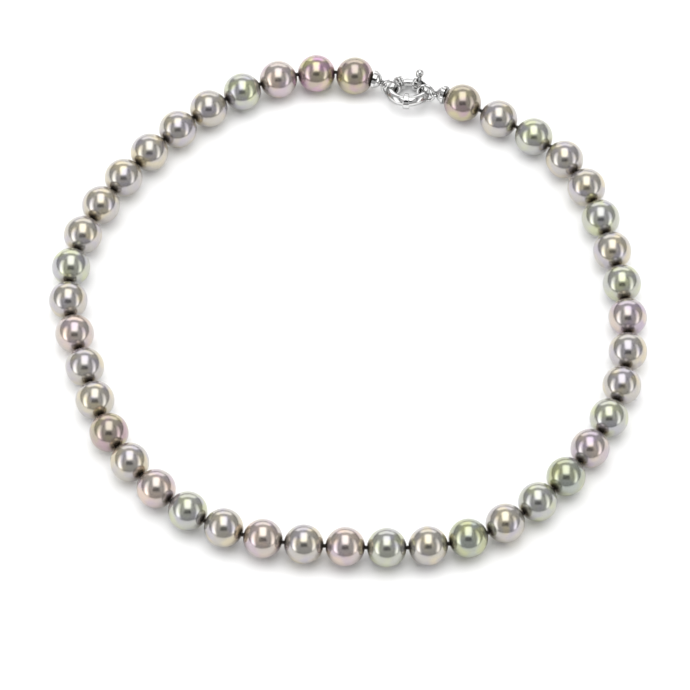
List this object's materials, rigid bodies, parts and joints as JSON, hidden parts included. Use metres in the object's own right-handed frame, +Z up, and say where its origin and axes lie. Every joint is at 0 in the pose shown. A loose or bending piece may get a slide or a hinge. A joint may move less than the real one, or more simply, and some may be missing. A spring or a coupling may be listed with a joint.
{
  "type": "pearl necklace",
  "caption": "Knotted strand of round grey pearls closed by a polished silver sailor clasp with a sliding trigger, laid in a loose ring.",
  "frame": {"origin": "on the surface the necklace lies on, under the middle of the strand's outline", "axes": "+Z up; +Y towards the clasp at the back; +X to the right"},
  "size_m": [0.1586, 0.1594, 0.0103],
  "materials": {
    "pearl": "nacre, silver grey with pastel overtones",
    "silver": "polished silver",
    "silk": "knotted silk thread, dark brown",
    "spring_steel": "bright wire"
  },
  "bodies": {
    "strand_end": {"end_cap_left": "silver"},
    "pearl_01": {"pearl_01": "pearl"},
    "pearl_02": {"pearl_02": "pearl"},
    "pearl_03": {"pearl_03": "pearl"},
    "pearl_04": {"pearl_04": "pearl"},
    "pearl_05": {"pearl_05": "pearl"},
    "pearl_06": {"pearl_06": "pearl"},
    "pearl_07": {"pearl_07": "pearl"},
    "pearl_08": {"pearl_08": "pearl"},
    "pearl_09": {"pearl_09": "pearl"},
    "pearl_10": {"pearl_10": "pearl"},
    "pearl_11": {"pearl_11": "pearl", "silk_thread": "silk"},
    "pearl_12": {"pearl_12": "pearl"},
    "pearl_13": {"pearl_13": "pearl"},
    "pearl_14": {"pearl_14": "pearl"},
    "pearl_15": {"pearl_15": "pearl"},
    "pearl_16": {"pearl_16": "pearl"},
    "pearl_17": {"pearl_17": "pearl"},
    "pearl_18": {"pearl_18": "pearl"},
    "pearl_19": {"pearl_19": "pearl"},
    "pearl_20": {"pearl_20": "pearl"},
    "pearl_21": {"pearl_21": "pearl"},
    "pearl_22": {"pearl_22": "pearl"},
    "pearl_23": {"pearl_23": "pearl"},
    "pearl_24": {"pearl_24": "pearl"},
    "pearl_25": {"pearl_25": "pearl"},
    "pearl_26": {"pearl_26": "pearl"},
    "pearl_27": {"pearl_27": "pearl"},
    "pearl_28": {"pearl_28": "pearl"},
    "pearl_29": {"pearl_29": "pearl"},
    "pearl_30": {"pearl_30": "pearl"},
    "pearl_31": {"pearl_31": "pearl"},
    "pearl_32": {"pearl_32": "pearl"},
    "pearl_33": {"pearl_33": "pearl"},
    "pearl_34": {"pearl_34": "pearl"},
    "pearl_35": {"pearl_35": "pearl"},
    "pearl_36": {"pearl_36": "pearl"},
    "pearl_37": {"pearl_37": "pearl"},
    "pearl_38": {"pearl_38": "pearl"},
    "pearl_39": {"pearl_39": "pearl"},
    "pearl_40": {"pearl_40": "pearl"},
    "pearl_41": {"pearl_41": "pearl"},
    "pearl_42": {"pearl_42": "pearl"},
    "jump_ring_left": {"jump_ring_left": "silver"},
    "clasp": {"clasp_tube": "silver", "gate_rim": "silver", "bolt_collar": "silver", "bottom_collar": "silver", "trigger_spring": "spring_steel"},
    "jump_ring_right": {"jump_ring_right": "silver"},
    "end_cap_right": {"end_cap_right": "silver"},
    "trigger": {"gate_bolt": "silver", "trigger_knob": "silver"}
  },
  "joints": [
    {"name": "fold_00_left", "type": "hinge", "parent": "strand_end", "child": "pearl_01", "pos_m": [0.00718, 0.07255, 0.00513], "axis": [-0.9416, 0.3367, 0], "range_deg": [0, 8]},
    {"name": "fold_01_left", "type": "hinge", "parent": "pearl_01", "child": "pearl_02", "pos_m": [-0.00321, 0.07492, 0.00513], "axis": [-0.9379, 0.3468, 0], "range_deg": [0, 8]},
    {"name": "fold_02_left", "type": "hinge", "parent": "pearl_02", "child": "pearl_03", "pos_m": [-0.01385, 0.07418, 0.00513], "axis": [-0.9451, 0.3268, 0], "range_deg": [0, 8]},
    {"name": "fold_03_left", "type": "hinge", "parent": "pearl_03", "child": "pearl_04", "pos_m": [-0.02403, 0.07093, 0.00513], "axis": [-0.9481, 0.318, 0], "range_deg": [0, 8]},
    {"name": "fold_04_left", "type": "hinge", "parent": "pearl_04", "child": "pearl_05", "pos_m": [-0.03347, 0.06593, 0.00513], "axis": [-0.9472, 0.3205, 0], "range_deg": [0, 8]},
    {"name": "fold_05_left", "type": "hinge", "parent": "pearl_05", "child": "pearl_06", "pos_m": [-0.04214, 0.05966, 0.00513], "axis": [-0.9471, 0.3211, 0], "range_deg": [0, 8]},
    {"name": "fold_06_left", "type": "hinge", "parent": "pearl_06", "child": "pearl_07", "pos_m": [-0.05002, 0.05244, 0.00513], "axis": [-0.9481, 0.318, 0], "range_deg": [0, 8]},
    {"name": "fold_07_left", "type": "hinge", "parent": "pearl_07", "child": "pearl_08", "pos_m": [-0.05723, 0.04453, 0.00513], "axis": [-0.949, 0.3152, 0], "range_deg": [0, 8]},
    {"name": "fold_08_left", "type": "hinge", "parent": "pearl_08", "child": "pearl_09", "pos_m": [-0.06367, 0.03599, 0.00513], "axis": [-0.9494, 0.3141, 0], "range_deg": [0, 8]},
    {"name": "fold_09_left", "type": "hinge", "parent": "pearl_09", "child": "pearl_10", "pos_m": [-0.06901, 0.02673, 0.00513], "axis": [-0.9495, 0.3138, 0], "range_deg": [0, 8]},
    {"name": "fold_10_left", "type": "hinge", "parent": "pearl_10", "child": "pearl_11", "pos_m": [-0.07287, 0.01676, 0.00513], "axis": [-0.9495, 0.3138, 0], "range_deg": [0, 8], "deforming": ["silk_thread"]},
    {"name": "fold_11_left", "type": "hinge", "parent": "pearl_11", "child": "pearl_12", "pos_m": [-0.0747, 0.00624, 0.00513], "axis": [-0.9494, 0.3141, 0], "range_deg": [0, 8]},
    {"name": "fold_12_left", "type": "hinge", "parent": "pearl_12", "child": "pearl_13", "pos_m": [-0.07372, -0.00437, 0.00513], "axis": [-0.9482, 0.3178, 0], "range_deg": [0, 8]},
    {"name": "fold_13_left", "type": "hinge", "parent": "pearl_13", "child": "pearl_14", "pos_m": [-0.07071, -0.01464, 0.00513], "axis": [-0.9454, 0.3259, 0], "range_deg": [0, 8]},
    {"name": "fold_14_left", "type": "hinge", "parent": "pearl_14", "child": "pearl_15", "pos_m": [-0.06781, -0.02493, 0.00513], "axis": [-0.9439, 0.3302, 0], "range_deg": [0, 8]},
    {"name": "fold_15_left", "type": "hinge", "parent": "pearl_15", "child": "pearl_16", "pos_m": [-0.06477, -0.03519, 0.00513], "axis": [-0.9451, 0.3268, 0], "range_deg": [0, 8]},
    {"name": "fold_16_left", "type": "hinge", "parent": "pearl_16", "child": "pearl_17", "pos_m": [-0.05995, -0.04472, 0.00513], "axis": [-0.9485, 0.3169, 0], "range_deg": [0, 8]},
    {"name": "fold_17_left", "type": "hinge", "parent": "pearl_17", "child": "pearl_18", "pos_m": [-0.05353, -0.05327, 0.00513], "axis": [-0.9553, 0.2956, 0], "range_deg": [0, 8]},
    {"name": "fold_18_left", "type": "hinge", "parent": "pearl_18", "child": "pearl_19", "pos_m": [-0.04582, -0.06066, 0.00513], "axis": [-0.9644, 0.2644, 0], "range_deg": [0, 8]},
    {"name": "fold_19_left", "type": "hinge", "parent": "pearl_19", "child": "pearl_20", "pos_m": [-0.03695, -0.06662, 0.00513], "axis": [-0.9727, 0.232, 0], "range_deg": [0, 8]},
    {"name": "fold_20_left", "type": "hinge", "parent": "pearl_20", "child": "pearl_21", "pos_m": [-0.0271, -0.07075, 0.00513], "axis": [-0.9778, 0.2097, 0], "range_deg": [0, 8]},
    {"name": "fold_20_right", "type": "hinge", "parent": "pearl_21", "child": "pearl_22", "pos_m": [-0.01664, -0.07299, 0.00513], "axis": [-0.9778, 0.2097, 0], "range_deg": [-8, 0]},
    {"name": "fold_19_right", "type": "hinge", "parent": "pearl_22", "child": "pearl_23", "pos_m": [-0.00599, -0.07401, 0.00513], "axis": [-0.9727, 0.232, 0], "range_deg": [-8, 0]},
    {"name": "fold_18_right", "type": "hinge", "parent": "pearl_23", "child": "pearl_24", "pos_m": [0.00469, -0.07451, 0.00513], "axis": [-0.9644, 0.2644, 0], "range_deg": [-8, 0]},
    {"name": "fold_17_right", "type": "hinge", "parent": "pearl_24", "child": "pearl_25", "pos_m": [0.01539, -0.07459, 0.00513], "axis": [-0.9553, 0.2956, 0], "range_deg": [-8, 0]},
    {"name": "fold_16_right", "type": "hinge", "parent": "pearl_25", "child": "pearl_26", "pos_m": [0.02602, -0.07344, 0.00513], "axis": [-0.9485, 0.3169, 0], "range_deg": [-8, 0]},
    {"name": "fold_15_right", "type": "hinge", "parent": "pearl_26", "child": "pearl_27", "pos_m": [0.03615, -0.07009, 0.00513], "axis": [-0.9451, 0.3268, 0], "range_deg": [-8, 0]},
    {"name": "fold_14_right", "type": "hinge", "parent": "pearl_27", "child": "pearl_28", "pos_m": [0.04524, -0.06448, 0.00513], "axis": [-0.9439, 0.3302, 0], "range_deg": [-8, 0]},
    {"name": "fold_13_right", "type": "hinge", "parent": "pearl_28", "child": "pearl_29", "pos_m": [0.05322, -0.05736, 0.00513], "axis": [-0.9454, 0.3259, 0], "range_deg": [-8, 0]},
    {"name": "fold_12_right", "type": "hinge", "parent": "pearl_29", "child": "pearl_30", "pos_m": [0.06019, -0.04926, 0.00513], "axis": [-0.9482, 0.3178, 0], "range_deg": [-8, 0]},
    {"name": "fold_11_right", "type": "hinge", "parent": "pearl_30", "child": "pearl_31", "pos_m": [0.0661, -0.04035, 0.00513], "axis": [-0.9494, 0.3141, 0], "range_deg": [-8, 0]},
    {"name": "fold_10_right", "type": "hinge", "parent": "pearl_31", "child": "pearl_32", "pos_m": [0.07062, -0.03066, 0.00513], "axis": [-0.9495, 0.3138, 0], "range_deg": [-8, 0]},
    {"name": "fold_09_right", "type": "hinge", "parent": "pearl_32", "child": "pearl_33", "pos_m": [0.07342, -0.02035, 0.00513], "axis": [-0.9495, 0.3138, 0], "range_deg": [-8, 0]},
    {"name": "fold_08_right", "type": "hinge", "parent": "pearl_33", "child": "pearl_34", "pos_m": [0.07449, -0.00971, 0.00513], "axis": [-0.9494, 0.3141, 0], "range_deg": [-8, 0]},
    {"name": "fold_07_right", "type": "hinge", "parent": "pearl_34", "child": "pearl_35", "pos_m": [0.07394, 0.00097, 0.00513], "axis": [-0.949, 0.3152, 0], "range_deg": [-8, 0]},
    {"name": "fold_06_right", "type": "hinge", "parent": "pearl_35", "child": "pearl_36", "pos_m": [0.07206, 0.01149, 0.00513], "axis": [-0.9481, 0.318, 0], "range_deg": [-8, 0]},
    {"name": "fold_05_right", "type": "hinge", "parent": "pearl_36", "child": "pearl_37", "pos_m": [0.06938, 0.02185, 0.00513], "axis": [-0.9471, 0.3211, 0], "range_deg": [-8, 0]},
    {"name": "fold_04_right", "type": "hinge", "parent": "pearl_37", "child": "pearl_38", "pos_m": [0.06641, 0.03213, 0.00513], "axis": [-0.9472, 0.3205, 0], "range_deg": [-8, 0]},
    {"name": "fold_03_right", "type": "hinge", "parent": "pearl_38", "child": "pearl_39", "pos_m": [0.06229, 0.04198, 0.00513], "axis": [-0.9481, 0.318, 0], "range_deg": [-8, 0]},
    {"name": "fold_02_right", "type": "hinge", "parent": "pearl_39", "child": "pearl_40", "pos_m": [0.05504, 0.05036, 0.00513], "axis": [-0.9451, 0.3268, 0], "range_deg": [-8, 0]},
    {"name": "fold_01_right", "type": "hinge", "parent": "pearl_40", "child": "pearl_41", "pos_m": [0.04595, 0.05675, 0.00513], "axis": [-0.9379, 0.3468, 0], "range_deg": [-8, 0]},
    {"name": "fold_00_right", "type": "hinge", "parent": "pearl_41", "child": "pearl_42", "pos_m": [0.03623, 0.06216, 0.00513], "axis": [-0.9416, 0.3367, 0], "range_deg": [-8, 0]},
    {"name": "clasp_swing", "type": "hinge", "parent": "strand_end", "child": "jump_ring_left", "pos_m": [0.00952, 0.07183, 0.00409], "axis": [0.9689, -0.2464, 0.0222], "range_deg": [0, 22]},
    {"name": "clasp_tilt", "type": "hinge", "parent": "jump_ring_left", "child": "clasp", "pos_m": [0.01216, 0.07102, 0.00294], "axis": [0.9744, -0.21, 0.0806], "range_deg": [-8, 8]},
    {"name": "jump_ring_tilt", "type": "hinge", "parent": "clasp", "child": "jump_ring_right", "pos_m": [0.02105, 0.0691, 0.00367], "axis": [0.9744, -0.21, 0.0806], "range_deg": [-8, 8]},
    {"name": "end_cap_swivel", "type": "hinge", "parent": "jump_ring_right", "child": "end_cap_right", "pos_m": [0.0238, 0.06819, 0.00442], "axis": [0.9689, -0.2464, 0.0222], "range_deg": [-22, 0]},
    {"name": "trigger_slide", "type": "hinge", "parent": "clasp", "child": "trigger", "pos_m": [0.01648, 0.06955, 0.0035], "axis": [0, -0.3584, -0.9336], "range_deg": [0, 30], "stiffness_Nm_per_rad": 0.003, "springref_deg": -17.19, "deforming": ["trigger_spring"]}
  ],
  "couplings": [
    {"joint": "fold_20_right", "follows": "fold_20_left", "ratio": -1},
    {"joint": "fold_19_right", "follows": "fold_19_left", "ratio": -1},
    {"joint": "fold_18_right", "follows": "fold_18_left", "ratio": -1},
    {"joint": "fold_17_right", "follows": "fold_17_left", "ratio": -1},
    {"joint": "fold_16_right", "follows": "fold_16_left", "ratio": -1},
    {"joint": "fold_15_right", "follows": "fold_15_left", "ratio": -1},
    {"joint": "fold_14_right", "follows": "fold_14_left", "ratio": -1},
    {"joint": "fold_13_right", "follows": "fold_13_left", "ratio": -1},
    {"joint": "fold_12_right", "follows": "fold_12_left", "ratio": -1},
    {"joint": "fold_11_right", "follows": "fold_11_left", "ratio": -1},
    {"joint": "fold_10_right", "follows": "fold_10_left", "ratio": -1},
    {"joint": "fold_09_right", "follows": "fold_09_left", "ratio": -1},
    {"joint": "fold_08_right", "follows": "fold_08_left", "ratio": -1},
    {"joint": "fold_07_right", "follows": "fold_07_left", "ratio": -1},
    {"joint": "fold_06_right", "follows": "fold_06_left", "ratio": -1},
    {"joint": "fold_05_right", "follows": "fold_05_left", "ratio": -1},
    {"joint": "fold_04_right", "follows": "fold_04_left", "ratio": -1},
    {"joint": "fold_03_right", "follows": "fold_03_left", "ratio": -1},
    {"joint": "fold_02_right", "follows": "fold_02_left", "ratio": -1},
    {"joint": "fold_01_right", "follows": "fold_01_left", "ratio": -1},
    {"joint": "fold_00_right", "follows": "fold_00_left", "ratio": -1},
    {"joint": "jump_ring_tilt", "follows": "clasp_tilt", "ratio": -1},
    {"joint": "end_cap_swivel", "follows": "clasp_swing", "ratio": -1}
  ]
}
